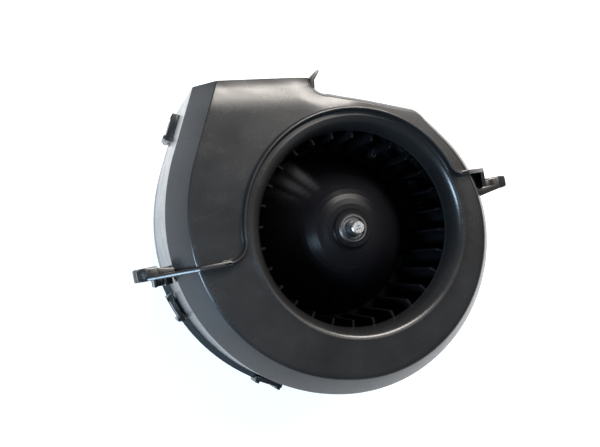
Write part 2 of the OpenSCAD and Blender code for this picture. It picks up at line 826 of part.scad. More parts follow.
spring_turns = 4;
wire_r = 0.35;
spring_l = box_at + box_l - 1 - comm_r - brush_l;
module brush_spring(a) {
  pitch = spring_l / spring_turns;
  rotate([0, 0, a]) translate([comm_r + brush_l, 0, brush_z + brush_h / 2]) rotate([0, 90, 0]) {
    for (i = [0:spring_turns - 1]) {
      translate([0, 0, wire_r + i * pitch]) rotate_extrude($fn = 36) translate([2, 0])
        circle(r = wire_r, $fn = 16);
    }
    for (i = [0:spring_turns - 1]) {
      rotate([0, 0, 90 * i]) translate([2, 0, wire_r])
        cylinder(r = wire_r * 0.8, h = spring_l - 2 * wire_r, $fn = 16);
    }
  }
}
module spring_a() color("#a8abad") brush_spring(0);
module spring_b() color("#a8abad") brush_spring(180);

module chokes() color("#a5602b") {
  for (side = [0, 180]) {
    rotate([0, 0, side + 52]) translate([20, 0, card_z - 11]) {
      cylinder(r = 2, h = 11, $fn = 36);
      for (i = [0:4]) {
        translate([0, 0, 1 + 2 * i]) rotate_extrude($fn = 36) translate([2.4, 0])
          circle(r = 0.8, $fn = 16);
      }
    }
  }
}

module capacitor() color("#7a3b22") {
  rotate([0, 0, 128]) translate([20, 0, card_z - 5]) {
    rotate([90, 0, 90]) cylinder(r = 4, h = 3, center = true, $fn = 48);
    for (side = [-1, 1]) {
      translate([0, side * 2, 0]) cylinder(r = 0.5, h = 5, $fn = 16);
    }
  }
}

module terminals() color("#c2b280") {
  for (side = [-1, 1]) {
    translate([cup_r - 1.5, side * 5 - 3.15, conn_z + conn_h / 2 - 0.4])
      cube([conn_d - 2, 6.3, 0.8]);
  }
}

front_shell();
rear_shell();
impeller();
hub_collar();
motor_shaft();
shaft_clip();
balance_clips();
motor_cup();
isolators();
flange_screws();
motor_can();
can_screws();
end_cap();
magnet_a();
magnet_b();
armature_core();
armature_windings();
slot_insulators();
commutator();
thrust_washers();
front_bearing();
rear_bearing();
bearing_clips();
brush_card();
brush_a();
brush_b();
spring_a();
spring_b();
chokes();
capacitor();
terminals();
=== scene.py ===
"""Scroll blower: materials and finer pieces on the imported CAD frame.

Shapes are worked out in millimetres and scaled once, lights and camera are in metres.
"""
import json
import math

import bmesh
import bpy
import numpy as np
from mathutils import Matrix, Vector
from mathutils.geometry import delaunay_2d_cdt

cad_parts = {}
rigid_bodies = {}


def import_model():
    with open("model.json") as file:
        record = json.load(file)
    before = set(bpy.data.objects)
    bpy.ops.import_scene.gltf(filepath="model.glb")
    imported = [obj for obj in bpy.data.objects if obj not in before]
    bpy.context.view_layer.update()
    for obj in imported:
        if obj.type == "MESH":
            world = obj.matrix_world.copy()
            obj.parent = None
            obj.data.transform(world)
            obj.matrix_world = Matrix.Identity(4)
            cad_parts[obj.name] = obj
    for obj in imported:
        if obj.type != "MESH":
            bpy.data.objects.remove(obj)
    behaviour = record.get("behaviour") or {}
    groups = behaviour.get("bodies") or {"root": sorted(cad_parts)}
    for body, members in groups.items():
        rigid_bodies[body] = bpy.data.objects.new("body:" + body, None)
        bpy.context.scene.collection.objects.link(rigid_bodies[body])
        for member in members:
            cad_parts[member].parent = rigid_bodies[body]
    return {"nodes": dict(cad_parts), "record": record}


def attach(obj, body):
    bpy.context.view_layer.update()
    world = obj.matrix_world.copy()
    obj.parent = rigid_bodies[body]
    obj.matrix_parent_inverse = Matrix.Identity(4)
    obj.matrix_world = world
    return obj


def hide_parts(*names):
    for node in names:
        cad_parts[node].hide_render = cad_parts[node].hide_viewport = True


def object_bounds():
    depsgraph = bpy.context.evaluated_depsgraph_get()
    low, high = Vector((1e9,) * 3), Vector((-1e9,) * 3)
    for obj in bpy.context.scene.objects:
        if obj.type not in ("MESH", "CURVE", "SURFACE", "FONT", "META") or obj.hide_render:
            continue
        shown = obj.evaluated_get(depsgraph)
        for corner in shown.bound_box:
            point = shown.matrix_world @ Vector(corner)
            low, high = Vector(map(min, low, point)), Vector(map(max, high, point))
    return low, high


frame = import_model()
cad_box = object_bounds()
nodes = frame["nodes"]
MM = 0.001


# ---------------------------------------------------------------- materials
class Nodes:
    """Short calls for building one node material."""

    def __init__(self, name):
        self.mat = bpy.data.materials.new(name)
        self.mat.use_nodes = True
        self.tree = self.mat.node_tree
        self.tree.nodes.clear()
        self.out = self.add("ShaderNodeOutputMaterial")
        self.bsdf = self.add("ShaderNodeBsdfPrincipled")
        self.link(self.bsdf.outputs[0], self.out.inputs[0])
        self.coord = self.add("ShaderNodeTexCoord").outputs["Object"]

    def add(self, kind, **values):
        node = self.tree.nodes.new(kind)
        for key, value in values.items():
            setattr(node, key, value)
        return node

    def link(self, a, b):
        self.tree.links.new(a, b)

    def set(self, **values):
        for key, value in values.items():
            self.bsdf.inputs[key.replace("_", " ")].default_value = value

    def mapped(self, scale):
        m = self.add("ShaderNodeMapping")
        m.inputs["Scale"].default_value = scale
        self.link(self.coord, m.inputs["Vector"])
        return m.outputs[0]

    def noise(self, scale, detail=2.0, rough=0.5, vector=None):
        n = self.add("ShaderNodeTexNoise")
        n.inputs["Scale"].default_value = scale
        n.inputs["Detail"].default_value = detail
        n.inputs["Roughness"].default_value = rough
        self.link(vector or self.coord, n.inputs["Vector"])
        return n.outputs["Fac"]

    def ramp(self, fac, stops):
        r = self.add("ShaderNodeValToRGB")
        el = r.color_ramp.elements
        while len(el) < len(stops):
            el.new(0.5)
        for e, (at, colour) in zip(el, stops):
            e.position = at
            if not hasattr(colour, "__len__"):
                colour = (colour, colour, colour)
            e.color = (*colour, 1)
        self.link(fac, r.inputs[0])
        return r.outputs[0]

    def mix(self, fac, a, b, blend="MIX"):
        m = self.add("ShaderNodeMix", data_type="RGBA", blend_type=blend)
        for sock, value in ((m.inputs[0], fac), (m.inputs[6], a), (m.inputs[7], b)):
            if hasattr(value, "is_output"):
                self.link(value, sock)
            elif hasattr(value, "__len__"):
                sock.default_value = (*value, 1)
            else:
                sock.default_value = value
        return m.outputs[2]

    def bump(self, height, strength, distance, normal=None):
        b = self.add("ShaderNodeBump")
        b.inputs["Strength"].default_value = strength
        b.inputs["Distance"].default_value = distance
        self.link(height, b.inputs["Height"])
        if normal is not None:
            self.link(normal, b.inputs["Normal"])
        return b.outputs[0]

    def edges(self, low, high):
        """Wear along sharp edges, from the surface's own curvature."""
        g = self.add("ShaderNodeNewGeometry")
        return self.ramp(g.outputs["Pointiness"], [(low, 0.0), (high, 1.0)])


DUST = (0.17, 0.165, 0.155)


def plastic(name, dark, light, rough, grain=0.35, edge=0.5, specular=0.5):
    """Moulded black plastic: fine spark-eroded grain, faint flow, rubbed edges, dust."""
    m = Nodes(name)
    flow = m.noise(26.0, 3.0, 0.55, m.mapped((1.0, 1.0, 0.35)))
    fine = m.noise(2600.0, 2.0, 0.6)
    blotch = m.noise(90.0, 4.0, 0.6)
    colour = m.mix(m.ramp(flow, [(0.35, 0.0), (0.65, 1.0)]), dark, light)
    dust = m.ramp(m.noise(420.0, 4.0, 0.7), [(0.64, 0.0), (0.84, 0.03)])
    colour = m.mix(dust, colour, DUST)
    wear = m.mix(m.edges(0.53, 0.62), (0.0, 0.0, 0.0), (edge, edge, edge))
    colour = m.mix(wear, colour, [min(1, c * 2.3 + 0.006) for c in light])
    m.link(colour, m.bsdf.inputs["Base Color"])
    uneven = m.ramp(blotch, [(0.3, rough - 0.035), (0.7, rough + 0.045)])
    m.link(uneven, m.bsdf.inputs["Roughness"])
    wave = m.bump(m.noise(46.0, 1.0, 0.4), 0.10, 0.0006)
    m.link(m.bump(fine, grain, 0.00006, wave), m.bsdf.inputs["Normal"])
    m.set(Specular_IOR_Level=specular)
    return m.mat


def metal(name, colour, rough, brush=(1.0, 1.0, 1.0), tarnish=0.35, scale=700.0, strength=0.12):
    """Bare or plated metal with tool marks along one direction and uneven tarnish."""
    m = Nodes(name)
    marks = m.noise(scale, 3.0, 0.65, m.mapped(brush))
    blotch = m.noise(160.0, 4.0, 0.6)
    tone = m.ramp(blotch, [(0.3, 0.0), (0.75, tarnish)])
    m.link(m.mix(tone, colour, [c * 0.45 for c in colour]), m.bsdf.inputs["Base Color"])
    m.link(m.ramp(marks, [(0.3, rough - 0.07), (0.7, rough + 0.1)]), m.bsdf.inputs["Roughness"])
    m.link(m.bump(marks, strength, 0.00005), m.bsdf.inputs["Normal"])
    m.set(Metallic=1.0)
    return m.mat


def matt(name, dark, light, rough, scale=900.0, strength=0.3):
    """Rubber, board, ferrite and other matt stuff: speckle and a rough skin."""
    m = Nodes(name)
    speck = m.noise(scale, 4.0, 0.65)
    patch = m.noise(140.0, 3.0, 0.5)
    colour = m.mix(m.ramp(speck, [(0.35, 0.0), (0.7, 1.0)]), dark, light)
    colour = m.mix(m.ramp(patch, [(0.4, 0.0), (0.7, 0.35)]), colour, [c * 0.55 for c in dark])
    m.link(colour, m.bsdf.inputs["Base Color"])
    m.link(m.ramp(patch, [(0.3, rough - 0.06), (0.7, rough + 0.06)]), m.bsdf.inputs["Roughness"])
    m.link(m.bump(speck, strength, 0.0001), m.bsdf.inputs["Normal"])
    return m.mat


def wound(name, colour):
    """Enamelled wire laid side by side."""
    m = Nodes(name)
    w = m.add("ShaderNodeTexWave", wave_type="BANDS", bands_direction="DIAGONAL")
    w.inputs["Scale"].default_value = 520.0
    w.inputs["Distortion"].default_value = 1.6
    m.link(m.coord, w.inputs["Vector"])
    tone = m.ramp(w.outputs["Fac"], [(0.1, 0.0), (0.8, 1.0)])
    m.link(m.mix(tone, [c * 0.25 for c in colour], colour), m.bsdf.inputs["Base Color"])
    m.link(m.ramp(m.noise(300.0, 3.0), [(0.3, 0.26), (0.7, 0.4)]), m.bsdf.inputs["Roughness"])
    m.link(m.bump(w.outputs["Fac"], 0.6, 0.0003), m.bsdf.inputs["Normal"])
    m.set(Metallic=0.75)
    return m.mat


def laminated(name, colour):
    """Stacked steel sheets."""
    m = Nodes(name)
    w = m.add("ShaderNodeTexWave", wave_type="BANDS", bands_direction="Z")
    w.inputs["Scale"].default_value = 620.0
    w.inputs["Distortion"].default_value = 0.3
    m.link(m.coord, w.inputs["Vector"])
    tone = m.ramp(w.outputs["Fac"], [(0.3, 0.0), (0.7, 1.0)])
    m.link(m.mix(tone, [c * 0.4 for c in colour], colour), m.bsdf.inputs["Base Color"])
    m.link(m.ramp(m.noise(400.0, 3.0), [(0.3, 0.35), (0.7, 0.55)]), m.bsdf.inputs["Roughness"])
    m.link(m.bump(w.outputs["Fac"], 0.4, 0.0002), m.bsdf.inputs["Normal"])
    m.set(Metallic=0.9)
    return m.mat


LOOKS = {
    "housing": plastic(
        "black_housing", (0.009, 0.009, 0.0095), (0.014, 0.014, 0.0145), 0.25, specular=0.4
    ),
    "housing_rear": plastic("black_rear", (0.014, 0.014, 0.015), (0.021, 0.021, 0.022), 0.4),
    # wheel plastic: its own black, made darker than the housing's as painted shade for the dim
    # inside of the housing, with its specular turned down
    "wheel": plastic(
        "black_wheel_painted_shade", (0.003, 0.003, 0.004), (0.005, 0.005, 0.006), 0.3, 0.2, 0.1, 0.09
    ),
    "collar_steel": metal("collar_steel", (0.1, 0.1, 0.105), 0.4, (1.0, 1.0, 6.0)),
    "shaft_steel": metal("shaft_steel", (0.55, 0.55, 0.56), 0.3, (1.0, 1.0, 9.0), 0.3),
    "spring_steel": metal("spring_steel", (0.36, 0.37, 0.38), 0.3, (1.0, 5.0, 1.0)),
    "rubber": matt("rubber", (0.016, 0.016, 0.016), (0.028, 0.028, 0.028), 0.78),
    "zinc_steel": metal("zinc_steel", (0.5, 0.52, 0.55), 0.3, (1.0, 1.0, 1.0), 0.25, 340.0),
    "can_steel": metal("can_steel", (0.4, 0.41, 0.42), 0.32, (1.0, 1.0, 0.15), 0.4),
    "ferrite": matt("ferrite", (0.05, 0.05, 0.055), (0.09, 0.09, 0.095), 0.7, 1500.0),
    "core_steel": laminated("core_steel", (0.3, 0.3, 0.31)),
    "copper": wound("copper", (0.6, 0.25, 0.1)),
    "insulator": matt("insulator", (0.38, 0.08, 0.05), (0.5, 0.13, 0.08), 0.5),
    "commutator_copper": metal("commutator_copper", (0.65, 0.36, 0.2), 0.28, (1.0, 1.0, 12.0)),
    "washer_plastic": matt("washer_plastic", (0.68, 0.63, 0.48), (0.78, 0.73, 0.58), 0.5),
    "bronze": metal("bronze", (0.52, 0.36, 0.17), 0.42, (1.0, 1.0, 1.0), 0.5, 1800.0, 0.3),
    "card": matt("card", (0.13, 0.085, 0.045), (0.2, 0.14, 0.08), 0.55),
    "carbon": matt("carbon", (0.02, 0.02, 0.022), (0.045, 0.045, 0.048), 0.5, 2200.0),
    "capacitor_coat": matt("capacitor_coat", (0.3, 0.09, 0.035), (0.4, 0.14, 0.06), 0.3),
    "terminal_brass": metal("terminal_brass", (0.68, 0.6, 0.4), 0.25, (6.0, 1.0, 1.0)),
}

slot_of = {s["node"]: s["material_slot"] for s in frame["record"]["subparts"]}
for name, obj in nodes.items():
    look = LOOKS[slot_of[name]]
    if not obj.material_slots:
        obj.data.materials.append(look)
    for ms in obj.material_slots:
        ms.material = look


# ---------------------------------------------------------------- scroll outline, in millimetres
# heights over the stand: face, foot of the sloping band, seam between the shells
FACE_Z, BAND_Z, SEAM_Z = 128.0, 112.5, 58.0
BAND_W, BAND_H = 11.0, FACE_Z - BAND_Z
DRAFT = 1.2
WALL = 2.5
THROAT_R, BELL_R, THROAT_Z = 58.0, 63.8, 113.0
# straight parts and corners of the wall line: N is a normal in degrees, D a distance
TOP_N, TOP_D = 82.2, 75.0
CORNER_N, CORNER_R = 50.0, 18.0
TONGUE_X, TONGUE_R = -26.0, 9.0
SIDE_N, SIDE_LEN = 165.0, 60.0
OUTLET_MID, OUTLET_TILT = Vector((-60.5, 82.2)), 5.7
# scroll arcs, centre and radius, growing towards the outlet
C0, R0 = Vector((4.1, -5.9)), 80.5
C1, R1 = Vector((-6.1, -5.9)), 90.7
C2, R2 = Vector((-6.1, 7.4)), 104.0
C3, R3 = Vector((13.4, 7.4)), 123.5


def unit(angle):
    a = math.radians(angle)
    return Vector((math.cos(a), math.sin(a)))


def crossing(na, da, nb, db):
    """Point where the lines with normals na, nb at distances da, db cross."""
    a, b = unit(na), unit(nb)
    det = a.x * b.y - a.y * b.x
    return Vector(((da * b.y - db * a.y) / det, (db * a.x - da * b.x) / det))


CORNER_END = C0 + unit(CORNER_N) * R0
CORNER_C = crossing(TOP_N, TOP_D - CORNER_R, CORNER_N, CORNER_END.dot(unit(CORNER_N)) - CORNER_R)
TONGUE_C = crossing(TOP_N, TOP_D + TONGUE_R, 0, TONGUE_X + TONGUE_R)
SIDE_P = C3 + unit(SIDE_N) * R3


def along(pair, t):
    return pair[0] + (pair[1] - pair[0]) * t


def arc_steps(centre, radius, start, end, step, band, edge, hollow=False):
    count = max(2, round(abs(math.radians(end - start)) * radius / step))
    sign = -1 if hollow else 1
    for i in range(count):
        t = i / count
        n = unit(start + (end - start) * t)
        yield centre + n * radius, n * sign, along(band, t), along(edge, t)


def line_steps(a, b, normal, step, band, edge):
    count = max(2, round((b - a).length / step))
    for i in range(count):
        t = i / count
        yield a + (b - a) * t, unit(normal), along(band, t), along(edge, t)


# band width or edge radius at the two ends of a stretch
THIN, FULL, CRISP = (2.2, 2.2), (BAND_W, BAND_W), (1.0, 1.0)


def outline(step=2.0):
    """The wall line as (point, outward normal, band width, edge radius), from the duct wall on."""
    duct_low = Vector((TONGUE_X, TONGUE_C.y))
    top_a = TONGUE_C - unit(TOP_N) * TONGUE_R
    top_b = CORNER_C + unit(TOP_N) * CORNER_R
    cut_a = CORNER_C + unit(CORNER_N) * CORNER_R
    side_b = SIDE_P + unit(SIDE_N - 90) * SIDE_LEN
    path = list(line_steps(duct_low + Vector((0, 30)), duct_low, 0, step, THIN, CRISP))
    path += arc_steps(TONGUE_C, TONGUE_R, 180, 180 + TOP_N, 0.8, THIN, CRISP, True)
    path += line_steps(top_a, top_b, TOP_N, step, THIN, CRISP)
    path += arc_steps(CORNER_C, CORNER_R, TOP_N, CORNER_N, 1.2, (2.2, 3.0), CRISP)
    path += line_steps(cut_a, CORNER_END, CORNER_N, step, (3.0, 3.6), (1.0, 1.6))
    path += arc_steps(C0, R0, CORNER_N, 0, step, (3.6, 6.0), (1.6, 4.0))
    path += arc_steps(C1, R1, 0, -90, step, (6.0, BAND_W), (4.0, 4.5))
    path += arc_steps(C2, R2, 270, 180, step, FULL, (4.5, 1.0))
    path += arc_steps(C3, R3, 180, SIDE_N, step, FULL, CRISP)
    path += line_steps(SIDE_P, side_b, SIDE_N, step, FULL, CRISP)
    path.append((side_b, unit(SIDE_N), BAND_W, 1.0))
    return path


def rounded(points, radii, steps=6):
    """A polyline with its inner corners rounded by the given radii."""
    out = [Vector(points[0])]
    for i in range(1, len(points) - 1):
        a, p, b = (Vector(points[k]) for k in (i - 1, i, i + 1))
        r = radii[i - 1]
        u, v = (a - p).normalized(), (b - p).normalized()
        half = u.angle(v) / 2
        if r <= 0:
            out.append(p)
            continue
        back = r / math.tan(half)
        c = p + (u + v).normalized() * (r / math.sin(half))
        s, e = p + u * back - c, p + v * back - c
        turn = s.angle(e)
        for k in range(steps + 1):
            t = k / steps
            out.append(c + (s * math.sin((1 - t) * turn) + e * math.sin(t * turn)) / math.sin(turn))
    out.append(Vector(points[-1]))
    return out


def smooth_step(a, b, x):
    t = min(1.0, max(0.0, (x - a) / (b - a)))
    return t * t * (3 - 2 * t)


def outlet_depth(p):
    """Distance of a point behind the outlet edge."""
    return -(Vector((p[0], p[1])) - OUTLET_MID).dot(unit(90 + OUTLET_TILT))


# how deep the face drops, and between which distances: outlet bend, lip step, tongue
BEND, BEND_RUN = 2.1, (1.0, 17.0)
STEP, STEP_RUN = 0.3, (4.2, 5.2)
TONGUE_DIP, TONGUE_RUN = 1.6, (1.0, 15.0)


def dip(p):
    """How far the face bends down towards the outlet edge and the tongue."""
    e = outlet_depth(p)
    drop = BEND * (1 - smooth_step(*BEND_RUN, e)) + STEP * (1 - smooth_step(*STEP_RUN, e))
    near = (Vector((p[0], p[1])) - TONGUE_C).length - TONGUE_R
    return drop + TONGUE_DIP * (1 - smooth_step(*TONGUE_RUN, near))


def inside(p, loop):
    hit = False
    j = len(loop) - 1
    for i in range(len(loop)):
        a, b = loop[i], loop[j]
        if (a[1] > p[1]) != (b[1] > p[1]):
            if p[0] < (b[0] - a[0]) * (p[1] - a[1]) / (b[1] - a[1]) + a[0]:
                hit = not hit
        j = i
    return hit


def flat_fill(loop, hole, spacing, height):
    """Triangles between an outer loop and a round hole, with inner points for soft bends."""
    verts = [Vector(p) for p in loop] + [Vector(p) for p in hole]
    nl, nh = len(loop), len(hole)
    edges = [(i, (i + 1) % nl) for i in range(nl)]
    edges += [(nl + i, nl + (i + 1) % nh) for i in range(nh)]
    hole_r = Vector(hole[0]).length
    xs = [p[0] for p in loop]
    ys = [p[1] for p in loop]
    edge_pts = np.array([(p[0], p[1]) for p in loop])
    row, y = 0, min(ys)
    while y < max(ys):
        x = min(xs) + (spacing / 2 if row % 2 else 0)
        while x < max(xs):
            far_in = np.min(np.hypot(edge_pts[:, 0] - x, edge_pts[:, 1] - y)) > 0.7 * spacing
            if far_in and math.hypot(x, y) > hole_r + 0.6 * spacing and inside((x, y), loop):
                verts.append(Vector((x, y)))
            x += spacing
        y += spacing * 0.866
        row += 1
    co, _, faces, *_ = delaunay_2d_cdt(verts, edges, [], 0, 1e-5)
    kept = []
    for f in faces:
        c = sum((co[i] for i in f), Vector((0, 0))) / len(f)
        a, b, d = (co[i] for i in f[:3])
        area = abs((b - a).cross(d - a)) / 2
        if area > 1e-3 and c.length > hole_r * 0.9999 and inside(c, loop):
            kept.append(f)
    return [(v.x, v.y, height(v)) for v in co], kept


def add_faces(bm, points, faces):
    vs = [bm.verts.new(p) for p in points]
    for f in faces:
        try:
            bm.faces.new([vs[i] for i in f])
        except ValueError:
            pass


def grid_faces(rows, cols, wrap=False):
    last = rows if wrap else rows - 1
    for i in range(last):
        for j in range(cols - 1):
            k = (i + 1) % rows
            yield (i * cols + j, k * cols + j, k * cols + j + 1, i * cols + j + 1)


def piece(name, bm, slot, body="housing", sharp=34.0, solid=0.0):
    """A finished piece from mesh code in millimetres, riding on a CAD body."""
    bmesh.ops.remove_doubles(bm, verts=bm.verts, dist=0.004)
    bmesh.ops.scale(bm, vec=(MM, MM, MM), verts=bm.verts)
    if not solid:
        bmesh.ops.recalc_face_normals(bm, faces=bm.faces)
    mesh = bpy.data.meshes.new(name)
    bm.to_mesh(mesh)
    bm.free()
    obj = bpy.data.objects.new(name, mesh)
    bpy.context.scene.collection.objects.link(obj)
    if solid:
        mod = obj.modifiers.new("wall", "SOLIDIFY")
        mod.thickness = solid * MM
        mod.offset = -1
        mod.use_even_offset = True
    bpy.context.view_layer.update()
    dg = bpy.context.evaluated_depsgraph_get()
    made = bpy.data.meshes.new_from_object(obj.evaluated_get(dg))
    obj.modifiers.clear()
    obj.data = made
    made.name = name
    made.polygons.foreach_set("use_smooth", [True] * len(made.polygons))
    made.set_sharp_from_angle(angle=math.radians(sharp))
    made.materials.clear()
    made.materials.append(LOOKS[slot])
    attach(obj, body)
    return obj


BEND_Z = BAND_Z - 6


def swept(bm, path, section, height=None):
    """Sheet through section(normal, width, edge) at each point of the path."""
    pts = []
    for at in path:
        rows = section(*at[1:])
        for d, z in rows:
            q = at[0] + at[1] * d
            if height:
                z -= height(q) * smooth_step(BEND_Z, FACE_Z, z)
            pts.append((q.x, q.y, z))
    add_faces(bm, pts, grid_faces(len(path), len(rows)))


def lathe(bm, profile, count, centre=(0.0, 0.0)):
    pts = []
    for i in range(count):
        u = unit(360 * i / count)
        pts += [(centre[0] + r * u.x, centre[1] + r * u.y, z) for r, z in profile]
    add_faces(bm, pts, grid_faces(count, len(profile), True))


def cut_outlet(bm):
    n = unit(90 + OUTLET_TILT)
    bmesh.ops.bisect_plane(
        bm,
        geom=bm.verts[:] + bm.edges[:] + bm.faces[:],
        plane_co=(OUTLET_MID.x, OUTLET_MID.y, 0),
        plane_no=(n.x, n.y, 0),
        clear_outer=True,
    )


# ---------------------------------------------------------------- front shell
FACE_RUN = 3.6
FOOT_ROUND = 1.2
WALL_ROWS = (SEAM_Z, 62, 70, 80, 90, 100, 106)
# lean of a wall under a narrow band, for a normal along x or y
LEAN_X, LEAN_Y = 0.26, 0.06
ROUND_STEPS, BELL_STEPS = 256, 14
FLARE, THROAT_LIP = 1.2, 3
SHEET_GRID = 3.2


def pull_in(normal, width):
    """How much further in the wall under a narrow band leans."""
    return max(0.0, LEAN_X * normal.x + LEAN_Y * normal.y) * BAND_H * (1 - width / BAND_W)


def front_section(normal, width, edge):
    """Wall, sloping band and face edge at one point of the wall line."""
    lean = pull_in(normal, width)
    low_z = FACE_Z - BAND_H * width / BAND_W
    slope = (DRAFT + lean) / (low_z - SEAM_Z)
    rows = [(DRAFT - slope * (z - SEAM_Z), z) for z in WALL_ROWS]
    top = [rows[-1], (-lean, low_z), (-lean - width, FACE_Z), (-lean - width - FACE_RUN, FACE_Z)]
    return rows[:-1] + [tuple(v) for v in rounded(top, [FOOT_ROUND, edge])]


def bell_section():
    """Inlet bell from the face down to the throat: a low bead, then a quarter ellipse."""
    rows = [
        (BELL_R + FLARE, FACE_Z),
        (BELL_R + 0.8, FACE_Z + 0.08),
        (BELL_R + 0.4, FACE_Z + 0.1),
    ]
    for i in range(BELL_STEPS + 1):
        a = math.radians(90 * i / BELL_STEPS)
        z = THROAT_Z + THROAT_LIP + (FACE_Z - THROAT_Z - THROAT_LIP) * math.cos(a)
        rows.append((BELL_R - (BELL_R - THROAT_R) * math.sin(a), z))
    rows.append((THROAT_R, THROAT_Z))
    return rows


def front_shell():
    path = outline()
    bm = bmesh.new()
    swept(bm, path, front_section, dip)
    loop = [p - n * (pull_in(n, w) + w + FACE_RUN) for p, n, w, _ in path]
    ring = [unit(360 * i / ROUND_STEPS) * (BELL_R + FLARE) for i in range(ROUND_STEPS)]
    points, faces = flat_fill(loop, ring, SHEET_GRID, lambda v: FACE_Z - dip(v))
    add_faces(bm, points, faces)
    lathe(bm, bell_section(), ROUND_STEPS)
    bmesh.ops.remove_doubles(bm, verts=bm.verts, dist=0.01)
    cut_outlet(bm)
    bmesh.ops.recalc_face_normals(bm, faces=bm.faces)
    up_face = max(bm.faces, key=lambda f: f.calc_center_median().z)
    if up_face.normal.z < 0:
        bmesh.ops.reverse_faces(bm, faces=bm.faces)
    skin = piece("front_skin", bm, "housing", solid=WALL, sharp=50.0)
    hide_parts("front_shell")


front_shell()

# ---------------------------------------------------------------- rib, ears, clips and leaf
RIB_C, RIB_R, RIB_A, RIB_B = Vector((-2.4, 1.6)), 66.0, 30.5, 189.0
RIB_H, RIB_T = 5.0, 1.8
RIB_TOP = FACE_Z + RIB_H
TILT = 11.3
TURN_R, SWING_R = 11.0, 6.0
LEFT_C = RIB_C + unit(RIB_B) * (RIB_R + TURN_R)
RIGHT_C = RIB_C + unit(RIB_A) * (RIB_R + SWING_R)
LEFT_P = LEFT_C + unit(270 + TILT) * TURN_R
RIGHT_P = RIGHT_C + unit(270 + TILT) * SWING_R
EAR_Z, EAR_SPAN, BOSS_R, BOSS_H, BORE_R, PLATE = 107.0, 10.0, 7.0, 7.5, 3.2, 2.6
EAR_FOOT = EAR_Z - EAR_SPAN
# lowest height at which an ear plate still sits in the face
EAR_HOLD = 122.5


def closed_sweep(bm, path, section):
    """Sweeps a closed section of (offset, z) along (point, normal) pairs and caps both ends."""
    pts = []
    for p, n in path:
        for d, z in section:
            q = p + n * d
            pts.append((q.x, q.y, z))
    cols = len(section)
    faces = []
    for i in range(len(path) - 1):
        for j in range(cols):
            k = (j + 1) % cols
            faces.append((i * cols + j, (i + 1) * cols + j, (i + 1) * cols + k, i * cols + k))
    faces.append(tuple(range(cols)))
    faces.append(tuple((len(path) - 1) * cols + j for j in range(cols)))
    add_faces(bm, pts, faces)


def rib_path():
    """Right ear root, swing onto the inlet arc, the arc, and the turn out to the left ear."""
    side = unit(270 + TILT)
    path = [(RIGHT_P + unit(TILT) * s, -side) for s in (3.0, 1.5)]
    for i in range(11):
        n = unit(270 + TILT + (RIB_A + 180 - 270 - TILT) * i / 10)
        path.append((RIGHT_C + n * SWING_R, -n))
    for i in range(1, 90):
        n = unit(RIB_A + (RIB_B - RIB_A) * i / 90)
        path.append((RIB_C + n * RIB_R, n))
    for i in range(13):
        n = unit(RIB_B - 180 + (270 + TILT - 360 - RIB_B + 180) * i / 12)
        path.append((LEFT_C + n * TURN_R, -n))
    path += [(LEFT_P + unit(180 + TILT) * s, -side) for s in (1.5, 3.0)]
    return path


def fence_rib():
    """Thin upright rib with a fillet at its foot and a rounded crest."""
    half = RIB_T / 2
    flank = [
        (half + 1.0, FACE_Z - 1.6), (half + 1.0, FACE_Z), (half + 0.45, FACE_Z + 0.25),
        (half + 0.12, FACE_Z + 0.8), (half, FACE_Z + 1.6), (half - 0.05, RIB_TOP - 0.8),
        (half - 0.22, RIB_TOP - 0.3), (half - 0.55, RIB_TOP),
    ]
    bm = bmesh.new()
    closed_sweep(bm, rib_path(), flank + [(-d, z) for d, z in reversed(flank)])
    piece("fence_rib", bm, "housing", sharp=60)


fence_rib()


DRUM_STEPS = 48


